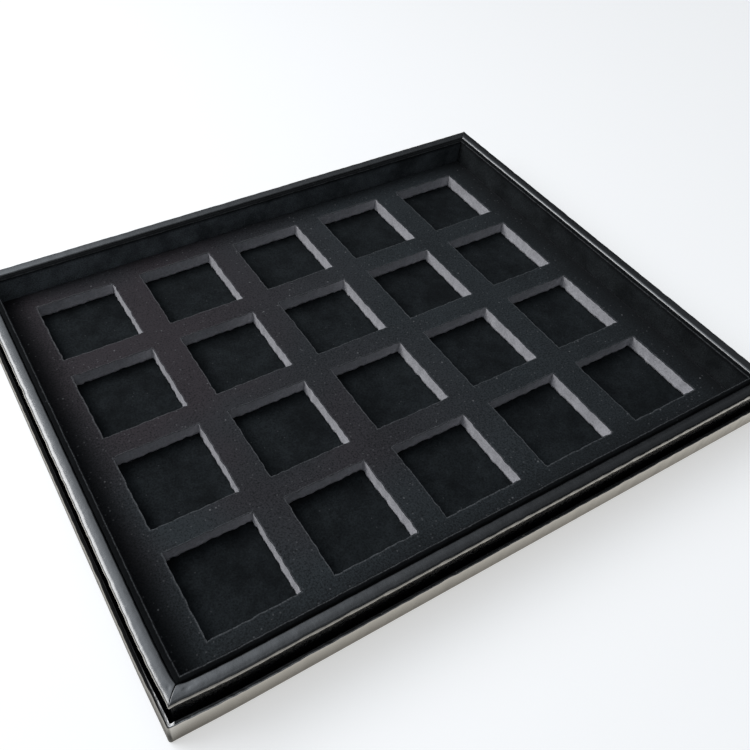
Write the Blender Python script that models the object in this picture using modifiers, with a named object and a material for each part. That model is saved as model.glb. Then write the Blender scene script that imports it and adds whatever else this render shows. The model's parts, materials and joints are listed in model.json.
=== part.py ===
"""Gemstone storage box: a low wrapped tray with a raised neck, velvet liners and a foam
sheet with square pockets.

Frame: X runs along the long side, Y from the front to the back, Z up. The origin is the
middle of the underside. All sizes are in metres.
"""

import math

import bmesh
import bpy

# Pockets and the bars between them
POCKET_SIDE = 0.0320
POCKET_COLUMNS = 5
POCKET_ROWS = 4
BAR_BETWEEN_COLUMNS = 0.0120
BAR_BETWEEN_ROWS = 0.0093
POCKET_CORNER_RADIUS = 0.0005

# Heights of the layers, from the table up
BOTTOM_BOARD = 0.0020
FLOOR_PAD_HEIGHT = 0.0030
FOAM_HEIGHT = 0.0057
TRAY_HEIGHT = 0.0106
TOTAL_HEIGHT = 0.0221

# Thicknesses of the upright layers, from the foam outwards
LINER_THICKNESS = 0.0021
NECK_THICKNESS = 0.0044
TRAY_WALL = 0.0015

# Clearance kept between neighbouring pieces
GAP = 0.0003

# Roundings
LINER_FOLD_RADIUS = 0.0007
NECK_FOLD_RADIUS = 0.0007
TRAY_FOLD_RADIUS = 0.0004
FOAM_EDGE_RADIUS = 0.0003
PAD_EDGE_RADIUS = 0.0002
FOLD_STEPS = 3
EDGE_STEPS = 2
POCKET_CORNER_STEPS = 3

WELD_DISTANCE = 0.00001
BOX_NAME = "gemstone_storage_box"


# Half sizes of each ring of pieces, worked out from the foam outwards

def foam_half_size():
    """Half length and half width of the foam: the pockets, the bars and an equal margin."""
    length = POCKET_COLUMNS * POCKET_SIDE + (POCKET_COLUMNS + 1) * BAR_BETWEEN_COLUMNS
    width = POCKET_ROWS * POCKET_SIDE + (POCKET_ROWS + 1) * BAR_BETWEEN_ROWS
    return length / 2, width / 2


def grown(half_size, amount):
    """A half size made larger by the same amount on each side."""
    return half_size[0] + amount, half_size[1] + amount


FOAM_HALF = foam_half_size()
LINER_INNER = grown(FOAM_HALF, GAP)
LINER_OUTER = grown(LINER_INNER, LINER_THICKNESS)
NECK_INNER = grown(LINER_OUTER, GAP)
NECK_OUTER = grown(NECK_INNER, NECK_THICKNESS)
TRAY_INNER = grown(NECK_OUTER, GAP)
TRAY_OUTER = grown(TRAY_INNER, TRAY_WALL)

# Levels of the stacked pieces

FLOOR_LEVEL = BOTTOM_BOARD + GAP
FOAM_LEVEL = FLOOR_LEVEL + FLOOR_PAD_HEIGHT + GAP


def clear_scene():
    """Removes every object that the file opened with."""
    for item in list(bpy.data.objects):
        bpy.data.objects.remove(item, do_unlink=True)


def new_collection(name):
    """A collection under the scene's own."""
    group = bpy.data.collections.new(name)
    bpy.context.scene.collection.children.link(group)
    return group


def finish(name, colour, roughness):
    """A plain dielectric material."""
    material = bpy.data.materials.new(name)
    material.use_nodes = True
    shader = material.node_tree.nodes["Principled BSDF"]
    shader.inputs["Base Color"].default_value = (*colour, 1.0)
    shader.inputs["Roughness"].default_value = roughness
    shader.inputs["Metallic"].default_value = 0.0
    return material


def place(item, group, parent, material=None):
    """Links an object into its collection, under its parent, with its material."""
    group.objects.link(item)
    item.parent = parent
    if material is not None:
        item.data.materials.append(material)
    return item


def cube_mesh(name, half_size, height):
    """A box mesh that stands on its local origin."""
    shape = bmesh.new()
    bmesh.ops.create_cube(shape, size=1.0)
    bmesh.ops.translate(shape, verts=shape.verts, vec=(0.0, 0.0, 0.5))
    bmesh.ops.scale(shape, verts=shape.verts, vec=(2 * half_size[0], 2 * half_size[1], height))
    mesh = bpy.data.meshes.new(name)
    shape.to_mesh(mesh)
    shape.free()
    return mesh


def round_all_edges(item, radius, steps):
    """A bevel on every edge sharper than 30 degrees."""
    bevel = item.modifiers.new("rounded_edges", "BEVEL")
    bevel.width = radius
    bevel.segments = steps
    bevel.limit_method = "ANGLE"
    bevel.angle_limit = math.radians(30.0)
    return bevel


def make_tray(group, cutters, parent):
    """The wrapped outer tray: a bottom board and four low walls with rounded folds."""
    tray = bpy.data.objects.new("base_tray", cube_mesh("base_tray", TRAY_OUTER, TRAY_HEIGHT))
    place(tray, group, parent, finish("tray_leatherette", (0.016, 0.016, 0.017), 0.22))

    hollow_mesh = cube_mesh("tray_hollow", TRAY_INNER, TRAY_HEIGHT)
    hollow = bpy.data.objects.new("tray_hollow", hollow_mesh)
    hollow.location = (0.0, 0.0, BOTTOM_BOARD)
    hollow.display_type = "WIRE"
    hollow.hide_render = True
    place(hollow, cutters, parent)

    cut = tray.modifiers.new("hollow", "BOOLEAN")
    cut.operation = "DIFFERENCE"
    cut.solver = "EXACT"
    cut.object = hollow
    round_all_edges(tray, TRAY_FOLD_RADIUS, EDGE_STEPS)
    return tray


def mitred_rail_mesh(name, outer_length, thickness, height):
    """A straight rail along local X with 45 degree ends.

    The outer face is at local Y = 0 and the rail reaches inwards to Y = thickness. The long
    top edges carry a bevel weight. The ends stop half a gap short of the mitre line.
    """
    slant_gap = GAP / math.sqrt(2)
    half_outer = outer_length / 2 - slant_gap
    shape = bmesh.new()
    bmesh.ops.create_cube(shape, size=1.0)
    for vertex in shape.verts:
        inner = vertex.co.y > 0
        top = vertex.co.z > 0
        side = math.copysign(1.0, vertex.co.x)
        reach = half_outer - thickness if inner else half_outer
        vertex.co = (side * reach, thickness if inner else 0.0, height if top else 0.0)
    weight = shape.edges.layers.float.new("bevel_weight_edge")
    for edge in shape.edges:
        first, second = edge.verts
        is_top = min(first.co.z, second.co.z) > height / 2
        is_long = abs(first.co.y - second.co.y) < thickness / 2
        edge[weight] = 1.0 if is_top and is_long else 0.0
    mesh = bpy.data.meshes.new(name)
    shape.to_mesh(mesh)
    shape.free()
    return mesh


def make_rails(prefix, outer_half, thickness, height, radius, material, group, parent):
    """Four mitred rails that stand on the bottom board and close a rectangle."""
    sides = (
        ("front", outer_half[0], outer_half[1], 0.0),
        ("right", outer_half[1], outer_half[0], 90.0),
        ("back", outer_half[0], outer_half[1], 180.0),
        ("left", outer_half[1], outer_half[0], 270.0),
    )
    for side, half_length, distance, turn in sides:
        name = f"{prefix}_{side}"
        mesh = mitred_rail_mesh(name, 2 * half_length, thickness, height)
        rail = bpy.data.objects.new(name, mesh)
        angle = math.radians(turn)
        rail.location = (distance * math.sin(angle), -distance * math.cos(angle), FLOOR_LEVEL)
        rail.rotation_euler = (0.0, 0.0, angle)
        place(rail, group, parent, material)
        bevel = rail.modifiers.new("top_folds", "BEVEL")
        bevel.width = radius
        bevel.segments = FOLD_STEPS
        bevel.limit_method = "WEIGHT"


def make_neck(group, parent):
    """The raised neck: four leatherette rails whose tops are the rim of the box."""
    material = finish("neck_leatherette", (0.016, 0.016, 0.017), 0.28)
    height = TOTAL_HEIGHT - FLOOR_LEVEL
    make_rails("neck", NECK_OUTER, NECK_THICKNESS, height, NECK_FOLD_RADIUS, material, group, parent)


def make_liners(group, parent):
    """Four velvet strips against the inside of the neck, level with the rim."""
    material = finish("liner_velvet", (0.010, 0.010, 0.011), 0.95)
    height = TOTAL_HEIGHT - FLOOR_LEVEL
    make_rails("liner", LINER_OUTER, LINER_THICKNESS, height, LINER_FOLD_RADIUS, material, group, parent)


def make_floor_pad(group, parent):
    """The flat pad under the foam, which closes every pocket."""
    pad = bpy.data.objects.new("floor_pad", cube_mesh("floor_pad", FOAM_HALF, FLOOR_PAD_HEIGHT))
    pad.location = (0.0, 0.0, FLOOR_LEVEL)
    place(pad, group, parent, finish("pad_velvet", (0.008, 0.009, 0.010), 0.95))
    round_all_edges(pad, PAD_EDGE_RADIUS, EDGE_STEPS)
    return pad


def rounded_rectangle(centre, half_size, radius, steps):
    """Points round a rectangle with arcs at its corners, anticlockwise."""
    corners = ((1, 1, 0.0), (-1, 1, 90.0), (-1, -1, 180.0), (1, -1, 270.0))
    points = []
    for side_x, side_y, start in corners:
        middle_x = centre[0] + side_x * (half_size[0] - radius)
        middle_y = centre[1] + side_y * (half_size[1] - radius)
        for step in range(steps + 1):
            angle = math.radians(start + 90.0 * step / steps)
            points.append((middle_x + radius * math.cos(angle), middle_y + radius * math.sin(angle)))
    return points


def pocket_centres():
    """Centres of the pockets, evenly spaced about the middle of the box."""
    pitch_x = POCKET_SIDE + BAR_BETWEEN_COLUMNS
    pitch_y = POCKET_SIDE + BAR_BETWEEN_ROWS
    centres = []
    for row in range(POCKET_ROWS):
        for column in range(POCKET_COLUMNS):
            x = (column - (POCKET_COLUMNS - 1) / 2) * pitch_x
            y = (row - (POCKET_ROWS - 1) / 2) * pitch_y
            centres.append((x, y))
    return centres


def add_closed_line(outline, points):
    """Adds one closed line of points to a flat outline."""
    line = outline.splines.new("POLY")
    line.points.add(len(points) - 1)
    for target, (x, y) in zip(line.points, points):
        target.co = (x, y, 0.0, 1.0)
    line.use_cyclic_u = True


def make_foam(group, parent):
    """The foam sheet with its square pockets cut right through."""
    outline = bpy.data.curves.new("pocket_foam", "CURVE")
    outline.dimensions = "2D"
    outline.fill_mode = "BOTH"
    outline.extrude = FOAM_HEIGHT / 2
    edge = rounded_rectangle((0.0, 0.0), FOAM_HALF, POCKET_CORNER_RADIUS, POCKET_CORNER_STEPS)
    add_closed_line(outline, edge)
    pocket_half = (POCKET_SIDE / 2, POCKET_SIDE / 2)
    for centre in pocket_centres():
        hole = rounded_rectangle(centre, pocket_half, POCKET_CORNER_RADIUS, POCKET_CORNER_STEPS)
        add_closed_line(outline, hole)
    foam = bpy.data.objects.new("pocket_foam", outline)
    foam.location = (0.0, 0.0, FOAM_LEVEL + FOAM_HEIGHT / 2)
    place(foam, group, parent, finish("flocked_foam", (0.020, 0.019, 0.020), 0.95))
    weld = foam.modifiers.new("joined_caps", "WELD")
    weld.merge_threshold = WELD_DISTANCE
    round_all_edges(foam, FOAM_EDGE_RADIUS, EDGE_STEPS)
    return foam


def build():
    """Makes every piece of the box."""
    clear_scene()
    group = new_collection(BOX_NAME)
    cutters = new_collection("cutters")
    root = bpy.data.objects.new(f"{BOX_NAME}_frame", None)
    group.objects.link(root)
    make_tray(group, cutters, root)
    make_neck(group, root)
    make_liners(group, root)
    make_floor_pad(group, root)
    make_foam(group, root)


build()
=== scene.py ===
"""Gemstone storage box: a low tray wrapped in glossy black leatherette, a raised neck of four
leatherette rails, four velvet liner strips and a flocked foam sheet with square pockets over a
velvet pad.

Frame: X runs along the long side, Y from the front to the back, Z up, and the box stands on Z = 0.
All sizes are in metres, and MM turns millimetres into metres.
"""

import json
import math

import bmesh
import bpy
import numpy as np
from mathutils import Matrix, Vector


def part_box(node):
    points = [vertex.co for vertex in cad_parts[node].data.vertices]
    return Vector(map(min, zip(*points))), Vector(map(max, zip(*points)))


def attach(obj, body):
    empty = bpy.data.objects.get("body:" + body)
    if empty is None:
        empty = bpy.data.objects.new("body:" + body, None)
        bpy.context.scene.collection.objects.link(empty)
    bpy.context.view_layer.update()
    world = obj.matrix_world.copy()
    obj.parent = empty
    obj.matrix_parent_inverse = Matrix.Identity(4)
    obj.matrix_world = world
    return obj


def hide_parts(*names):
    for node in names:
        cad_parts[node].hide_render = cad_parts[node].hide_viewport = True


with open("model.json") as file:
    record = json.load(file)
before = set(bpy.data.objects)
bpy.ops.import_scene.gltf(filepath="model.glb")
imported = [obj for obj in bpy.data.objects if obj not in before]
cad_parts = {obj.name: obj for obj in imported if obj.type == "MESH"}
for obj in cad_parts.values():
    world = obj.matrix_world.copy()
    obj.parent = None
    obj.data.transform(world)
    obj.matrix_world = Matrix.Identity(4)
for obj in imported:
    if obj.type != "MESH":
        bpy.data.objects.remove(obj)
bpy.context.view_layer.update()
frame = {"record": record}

MM = 0.001

# Where the CAD pieces are: lowest and highest corner of each


def corners_of(node):
    """Lowest and highest corner of a CAD node as two arrays."""
    low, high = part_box(node)
    return np.array(low), np.array(high)


_, TRAY_HIGH = corners_of("base_tray")
FRONT_NECK_LOW, FRONT_NECK_HIGH = corners_of("neck_front")
LEFT_NECK_LOW, _ = corners_of("neck_left")
FRONT_LINER_LOW, FRONT_LINER_HIGH = corners_of("liner_front")
LEFT_LINER_LOW, _ = corners_of("liner_left")
FOAM_LOW, FOAM_HIGH = corners_of("pocket_foam")
PAD_LOW, PAD_HIGH = corners_of("floor_pad")

TRAY_HALF = TRAY_HIGH[:2]
TRAY_TOP = TRAY_HIGH[2]
RIM_TOP = FRONT_NECK_HIGH[2]
RAIL_FOOT = FRONT_NECK_LOW[2]
NECK_OUTER_HALF = np.array([-LEFT_NECK_LOW[0], -FRONT_NECK_LOW[1]])
NECK_THICKNESS = FRONT_NECK_HIGH[1] - FRONT_NECK_LOW[1]
LINER_OUTER_HALF = np.array([-LEFT_LINER_LOW[0], -FRONT_LINER_LOW[1]])
LINER_THICKNESS = FRONT_LINER_HIGH[1] - FRONT_LINER_LOW[1]
FOAM_HALF = FOAM_HIGH[:2]
BOARD_GAP = 0.3 * MM
BOTTOM_BOARD = RAIL_FOOT - BOARD_GAP
TRAY_WALL = TRAY_HALF[0] - NECK_OUTER_HALF[0] - BOARD_GAP

# The pockets, from the record's openings, which keep clear of the walls by a small margin
OPENING_MARGIN = 0.2 * MM


def pocket_boxes():
    """Middle and half size of every pocket, row by row from the front."""
    found = []
    for opening in frame["record"]["physics"]["openings"]:
        if opening["name"].startswith("pocket_"):
            low, high = np.array(opening["box_m"], float)
            found.append(((low + high)[:2] / 2, (high - low)[:2] / 2 + OPENING_MARGIN))
    return found


POCKETS = pocket_boxes()

# The tray: its folds, its turned-in border, and the ledge's fall towards the neck
TRAY_CORNER = 0.9 * MM
TRAY_LEAST_CORNER = 0.2 * MM
TRAY_FOLD = 0.34 * MM
TRAY_FOOT_FOLD = 0.8 * MM
TRAY_INNER_FOLD = 0.25 * MM
LEDGE_LEAN = 0.10 * MM
TURN_IN = 13.0 * MM
TURN_IN_SLOPE = 0.3 * MM
TURN_IN_STEP = 0.12 * MM
BOTTOM_BORDER = 4.0 * MM
# Its unevenness: ripples are given by their waves round the box and their height
TRAY_BULGE = 0.22 * MM
TRAY_SWAY = ((5, 13, 29, 61, 97, 143), 0.11 * MM)
TRAY_SWAY_SEED = 11
LEDGE_CRUMPLE = ((97, 151, 211, 307, 401), 0.07 * MM)
LEDGE_CRUMPLE_SEED = 12
TRAY_SIDE_STEPS = 280
TRAY_CORNER_STEPS = 9

# The neck: its inner folds, and how far the middle of each rail's top stands above its edges
NECK_INNER_FOLD = {"front": 0.8 * MM, "right": 1.0 * MM, "back": 0.9 * MM, "left": 0.6 * MM}
NECK_CROWN = {"front": 0.12 * MM, "right": 0.06 * MM, "back": 0.10 * MM, "left": 0.07 * MM}
# The tilt of the neck's outer face in degrees above level, at lengths in millimetres down from the
# edge of its top: a tight fold, a soft nose, and a face that draws in towards its foot
NECK_TILT = (
    (0.0, 0.45, 0.85, 1.1, 1.5, 2.0, 2.7, 4.2, 6.5, 9.0, 13.0, 25.0),
    (84.0, 70.0, 36.0, 24.0, 8.0, -5.0, -13.0, -15.0, -8.0, -3.0, -1.0, 0.0),
)
LEFT_NECK_TILT = (
    (0.0, 0.9, 1.3, 1.7, 2.1, 2.8, 4.2, 6.5, 9.0, 13.0, 25.0),
    (81.0, 66.0, 30.0, 6.0, -6.0, -13.0, -13.0, -8.0, -3.0, -1.0, 0.0),
)
RIGHT_NECK_TILT = (
    (0.0, 0.3, 0.6, 1.2, 3.0, 25.0),
    (80.0, 30.0, 4.0, 0.0, -2.0, 0.0),
)
# The samples of a tilt, and the nose's length below its tight fold, in millimetres
TILT_SAMPLES = 5001
NOSE_LENGTH = 3.0
NECK_MITRE_GAP = 0.08 * MM
NECK_MITRE_ROUNDING = 0.25 * MM
# How far each mitre seam bends at the rail's left end and at its right one, in millimetres
NECK_SEAM_BEND = {
    "front": (0.30, 0.10),
    "right": (-0.10, 0.05),
    "back": (-0.05, 0.15),
    "left": (-0.15, -0.30),
}
# Dents in the leatherette by the neck's inner front left corner: across, back and depth, all in
# millimetres, and how wide each one is and how far below the rim it can reach
NECK_PUCKERS = ((2.7, -1.3, 0.22), (4.6, -0.9, 0.18), (-1.5, 1.2, 0.12))
NECK_PUCKER_REACH = 0.5 * MM
NECK_PUCKER_DEPTH = 1.5 * MM

# The liners: their folds and mitres, and the painted sheen that lightens each strip below its top: its
# strength on each strip, strongest on the back one, and how far below the fold it grows to that
LINER_CROWN = 0.05 * MM
LINER_FOLD = 0.75 * MM
LINER_MITRE_GAP = 0.0
LINER_MITRE_ROUNDING = 0.06 * MM
LINER_PAINTED_SHEEN = {"front": 0.2, "right": 0.12, "back": 1.0, "left": 0.2}
LINER_PAINTED_SHEEN_START = 0.8 * MM
# How far the worn crease of each strip lies out from its inner face and down from its top
LINER_CREASE = {
    "front": (0.5, 0.08),
    "right": (0.12, 0.45),
    "back": (0.12, 0.45),
    "left": (0.5, 0.08),
}
LINER_CREASE_WIDTH = 0.18 * MM
LINER_CREASE_WANDER = ((9, 23, 41, 67), 0.09 * MM)

# What the neck's rails and the liners have in common: sections along a rail, how far a seam's bend
# and the calm of its ends reach, and the ripples' waves along a rail and height
END_STEPS = MM * np.array(
    [0.0, 0.03, 0.08, 0.16, 0.30, 0.55, 0.9, 1.3, 1.8, 2.4, 3.1, 4.0, 5.0, 6.2, 7.5]
)
RAIL_SPACING = 1.3 * MM
SEAM_BEND_REACH = 3.0 * MM
CALM_END_REACH = 2.5 * MM
RAIL_SWAY = ((3.3, 7.1, 13.7, 23.0, 37.0), 0.14 * MM)
RAIL_SWAY_SLANT = 0.14
RAIL_SWAY_LOSS = 0.6
RAIL_LIFT = ((3.1, 7.3, 13.9, 23.0), 0.04 * MM)
FIRST_NECK_SEED = 20
FIRST_LINER_SEED = 40
CREASE_SEED_STEP = 5

# The foam: its cut corners and soft lips, its uneven cuts, and the shape of its top
POCKET_CORNER = 0.35 * MM
POCKET_LIP = 0.2 * MM
POCKET_HOLLOW = 0.10 * MM
POCKET_SIDE_STEPS = 34
POCKET_CORNER_STEPS = 5
POCKET_WALL_ROWS = 9
POCKET_LIP_ROWS = 6
FOAM_TOP_SHARES = (0.05, 0.14, 0.3, 0.5, 0.75, 0.93, 1.0)
UPPER_CUT = ((4, 11, 19, 29, 37), 0.15 * MM)
LOWER_CUT = ((5, 13, 23, 31, 43), 0.18 * MM)
FIRST_UPPER_CUT_SEED = 100
FIRST_LOWER_CUT_SEED = 200
# The painted shade along the sheet's left, right and front edges: how far it reaches, and its strength
# at each of these edges
WALL_SHADE_REACH = 11.0 * MM
WALL_SHADE_STRENGTHS = np.array([[1.0], [1.0], [0.6]])
FOAM_EDGE_REACH = 0.8 * MM
FOAM_EDGE_DROP = 0.35 * MM
FOAM_SWELL = 0.05 * MM

# The pad: its grid, and how much its top rises in a pocket
PAD_COLUMNS = 209
PAD_ROWS = 161
PAD_SWELL = 0.30 * MM

# The front left corner is drawn in a little by the leatherette: where, how far, and how wide, and
# the share of that left at the table
CORNER_PULL = (-TRAY_HALF, np.array([0.80, 0.95]) * MM, 14.0 * MM)
NECK_CORNER_PULL = (NECK_THICKNESS - NECK_OUTER_HALF, np.array([0.40, 0.55]) * MM, 2.4 * MM)
PULL_AT_TABLE = 0.45

# Points nearer than this are one point
WELD = 2e-6
# How much closer together the points of a loop stand towards the ends of a side
SIDE_CROWDING = 0.12

# Sizes of the materials' patterns, in cells a metre
LEATHER_CLOUD_SCALE = 70.0
LEATHER_PUCKER_SCALE = 380.0
LEATHER_GRAIN_SCALE = 900.0
VELVET_PATCH_SCALE = 85.0
VELVET_PILE_SCALE = 1600.0
VELVET_LINT_SCALE = 300.0
FLOCK_CAST_SCALE = 14.0
FLOCK_PATCH_SCALE = 45.0
FLOCK_PILE_SCALE = 1500.0
FLOCK_LINT_SCALE = 240.0
FLOCK_FLECK_SCALE = 420.0
FOAM_CLOUD_SCALE = 160.0
FOAM_CELL_SCALE = 1300.0

# Colours of the materials
BLACK_LEATHER = (0.0035, 0.0038, 0.0042)
GREY_LEATHER = (0.008, 0.0085, 0.0095)
VELVET_LINT = (0.10, 0.10, 0.105)
FLOCK_DARK = (0.004, 0.0045, 0.005)
FLOCK_GREENISH = (0.031, 0.037, 0.041)
FLOCK_PLUM = (0.040, 0.034, 0.0385)
FLOCK_WORN = (0.12, 0.125, 0.13)
FLOCK_LINT = (0.16, 0.16, 0.165)
FOAM_DARK = (0.36, 0.352, 0.372)
FOAM_LIGHT = (0.65, 0.64, 0.665)
PLAIN_WHITE = (1.0, 1.0, 1.0)

# The room: how bright its window side is, the rest, and its back right corner, and its colour
WALL_STRENGTH = 3.0
ROOM_STRENGTH = 0.23
DARK_CORNER_STRENGTH = 0.06
ROOM_COLOUR = (0.85, 0.92, 1.0)

# The lamp: its place, its width and height in metres, and its power in watts
LAMP_PLACE = (-0.42, 0.31, 0.46)
LAMP_SIZE = (0.56, 0.30)
LAMP_POWER = 2.75

# The table: its size, its grey under the lamp, and the part of its white that doesn't depend on
# the lamp, as the camera and the glossy pieces see it
TABLE_SIDE = 6.0
TABLE_GREY = 0.58
TABLE_COLOUR = (0.975 * TABLE_GREY, TABLE_GREY, 1.045 * TABLE_GREY)
TABLE_COLOUR_MIRRORED = (0.7, 0.7, 0.68)
TABLE_GLOW = 0.55
TABLE_GLOW_MIRRORED = 0.68
TABLE_GLOW_COLOUR = (1.0, 0.99, 0.965)
TABLE_GLOW_COLOUR_MIRRORED = (1.0, 0.93, 0.80)

# The camera: its lens, its place in metres, and its angles in degrees
IMAGE_SIDE_PX = 750.0
FOCAL_LENGTH_PX = 785.0
PRINCIPAL_COLUMN_PX = 290.1
SENSOR_WIDTH_MM = 36.0
CAMERA_PLACE = (-0.1382, -0.1645, 0.2354)
CAMERA_ELEVATION = 48.79
CAMERA_HEADING = 32.97
CAMERA_ROLL = 4.31
CAMERA_NEAREST = 0.01
CAMERA_FARTHEST = 20.0


# Shapes on grids


def ripple(share, seed, cycles, height):
    """A gentle unevenness along a length or round a loop.

    The sum of one sine for each number of cycles, with phases drawn from the seed, times the
    height and divided by the root of the number of sines. share runs from 0 to 1.
    """
    phases = np.random.default_rng(seed).uniform(0.0, 2.0 * np.pi, len(cycles))
    total = np.zeros_like(np.asarray(share, float))
    for cycle, phase in zip(cycles, phases):
        total = total + np.sin(2.0 * np.pi * cycle * share + phase)
    return height * total / math.sqrt(len(cycles))


def grid_quads(rows, columns, close_columns=False):
    """Corner indices of the quads of a grid whose points are numbered row by row."""
    row = np.arange(rows - 1)[:, None]
    column = np.arange(columns if close_columns else columns - 1)[None, :]
    beside = (column + 1) % columns
    corners = (
        row * columns + column,
        row * columns + beside,
        (row + 1) * columns + beside,
        (row + 1) * columns + column,
    )
    return np.stack(np.broadcast_arrays(*corners), -1).reshape(-1, 4)


def drawn_in(points, pull):
    """Moves points near a place towards the middle of the box.

    The shift is the pull times exp(-(d / reach)^2), where d is the distance from the place in
    plan. It grows straight from PULL_AT_TABLE of that at the table to all of it at the top of the
    tray and above.
    """
    place, shift, reach = pull
    nearness = np.exp(-np.sum((points[:, :2] - place) ** 2, axis=1) / reach**2)
    rise = np.clip(points[:, 2] / TRAY_TOP, 0.0, 1.0)
    height_share = PULL_AT_TABLE + (1.0 - PULL_AT_TABLE) * rise
    moved = points.copy()
    moved[:, :2] += shift * (nearness * height_share)[:, None]
    return moved


def closed_mesh(name, points, quads, face_materials=None, values=None):
    """A mesh from points and quads: welded, with its faces pointing out and shaded smooth.

    values is a dictionary of one number a point, kept as attributes for the materials.
    """
    mesh = bpy.data.meshes.new(name)
    mesh.vertices.add(len(points))
    mesh.vertices.foreach_set("co", np.ascontiguousarray(points, np.float32).ravel())
    mesh.loops.add(quads.size)
    mesh.loops.foreach_set("vertex_index", quads.astype(np.int32).ravel())
    mesh.polygons.add(len(quads))
    mesh.polygons.foreach_set("loop_start", np.arange(0, quads.size, 4, dtype=np.int32))
    if face_materials is not None:
        mesh.polygons.foreach_set("material_index", np.asarray(face_materials, np.int32))
    mesh.update(calc_edges=True)
    for key, numbers in (values or {}).items():
        layer = mesh.attributes.new(key, "FLOAT", "POINT")
        layer.data.foreach_set("value", np.asarray(numbers, np.float32))
    work = bmesh.new()
    work.from_mesh(mesh)
    bmesh.ops.remove_doubles(work, verts=work.verts, dist=WELD)
    bmesh.ops.dissolve_degenerate(work, edges=work.edges, dist=WELD / 10)
    bmesh.ops.recalc_face_normals(work, faces=work.faces)
    work.to_mesh(mesh)
    work.free()
    mesh.shade_smooth()
    return mesh


def add_piece(name, mesh, materials, slot, *nodes):
    """Puts a finished mesh into the scene in place of its CAD node."""
    for material in materials:
        mesh.materials.append(material)
    piece = bpy.data.objects.new(name, mesh)
    bpy.context.scene.collection.objects.link(piece)
    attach(piece, "root")
    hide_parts(*nodes)
    return piece


def arc(middle, radius, start, end, steps):
    """Points on a circular arc between two angles in degrees."""
    angles = np.radians(np.linspace(start, end, steps))
    return np.stack([middle[0] + radius * np.cos(angles), middle[1] + radius * np.sin(angles)], 1)


def line(first, last, steps):
    """Points from first towards last, without the last one."""
    return np.linspace(first, last, steps, endpoint=False)


def plain_face(foot, top, fold):
    """An upright outer face with a quarter circle at its top, from the foot up."""
    return np.concatenate(
        [line((0.0, foot), (0.0, top - fold), 12), arc((fold, top - fold), fold, 180.0, 90.0, 10)]
    )


def tilted_face(foot, top, tilts):
    """An outer face worked out from its tilt, from the foot up.

    From the edge of the top, a point moves on by (-sin a, -cos a) a unit of length, with a the
    tilt there, and the whole is shifted so that its outermost point is at depth 0.
    """
    lengths, degrees = tilts
    along = np.linspace(0.0, lengths[-1], TILT_SAMPLES)
    tilt = np.radians(np.interp(along, lengths, degrees))
    step = (along[1] - along[0]) * MM
    depth = -np.concatenate([[0.0], np.cumsum(np.sin((tilt[1:] + tilt[:-1]) / 2))]) * step
    height = top - np.concatenate([[0.0], np.cumsum(np.cos((tilt[1:] + tilt[:-1]) / 2))]) * step
    whole = np.interp(-foot, -height, along)
    near, far = lengths[1], lengths[1] + NOSE_LENGTH
    places = np.concatenate(
        [
            np.linspace(whole, far, 12, endpoint=False),
            np.linspace(far, near, 26, endpoint=False),
            np.linspace(near, 0.0, 11),
        ]
    )
    points = np.stack([np.interp(places, along, depth), np.interp(places, along, height)], 1)
    points[:, 0] -= points[:, 0].min()
    return points


def rail_profile(outer, thickness, top, inner_fold, crown):
    """The section of a wrapped rail as a closed loop of (depth, height).

    The outer face is given. The top rises by crown in half a sine, and a quarter circle joins it
    to the upright inner face.
    """
    shoulder = top - crown
    foot = outer[0, 1]
    across = np.linspace(0.0, 1.0, 12)[1:-1]
    start = outer[-1, 0]
    top_line = np.stack(
        [
            start + (thickness - inner_fold - start) * across,
            shoulder + crown * np.sin(np.pi * across),
        ],
        1,
    )
    return np.concatenate(
        [
            outer,
            top_line,
            arc((thickness - inner_fold, shoulder - inner_fold), inner_fold, 90.0, 0.0, 8),
            line((thickness, shoulder - inner_fold), (thickness, foot), 12)[1:],
            line((thickness, foot), outer[0], 4),
        ]
    )


def loop_normals(loop):
    """Outward unit normals of a clockwise closed loop of points."""
    along = np.roll(loop, -1, axis=0) - np.roll(loop, 1, axis=0)
    along /= np.linalg.norm(along, axis=1)[:, None]
    return np.stack([-along[:, 1], along[:, 0]], 1)


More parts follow.
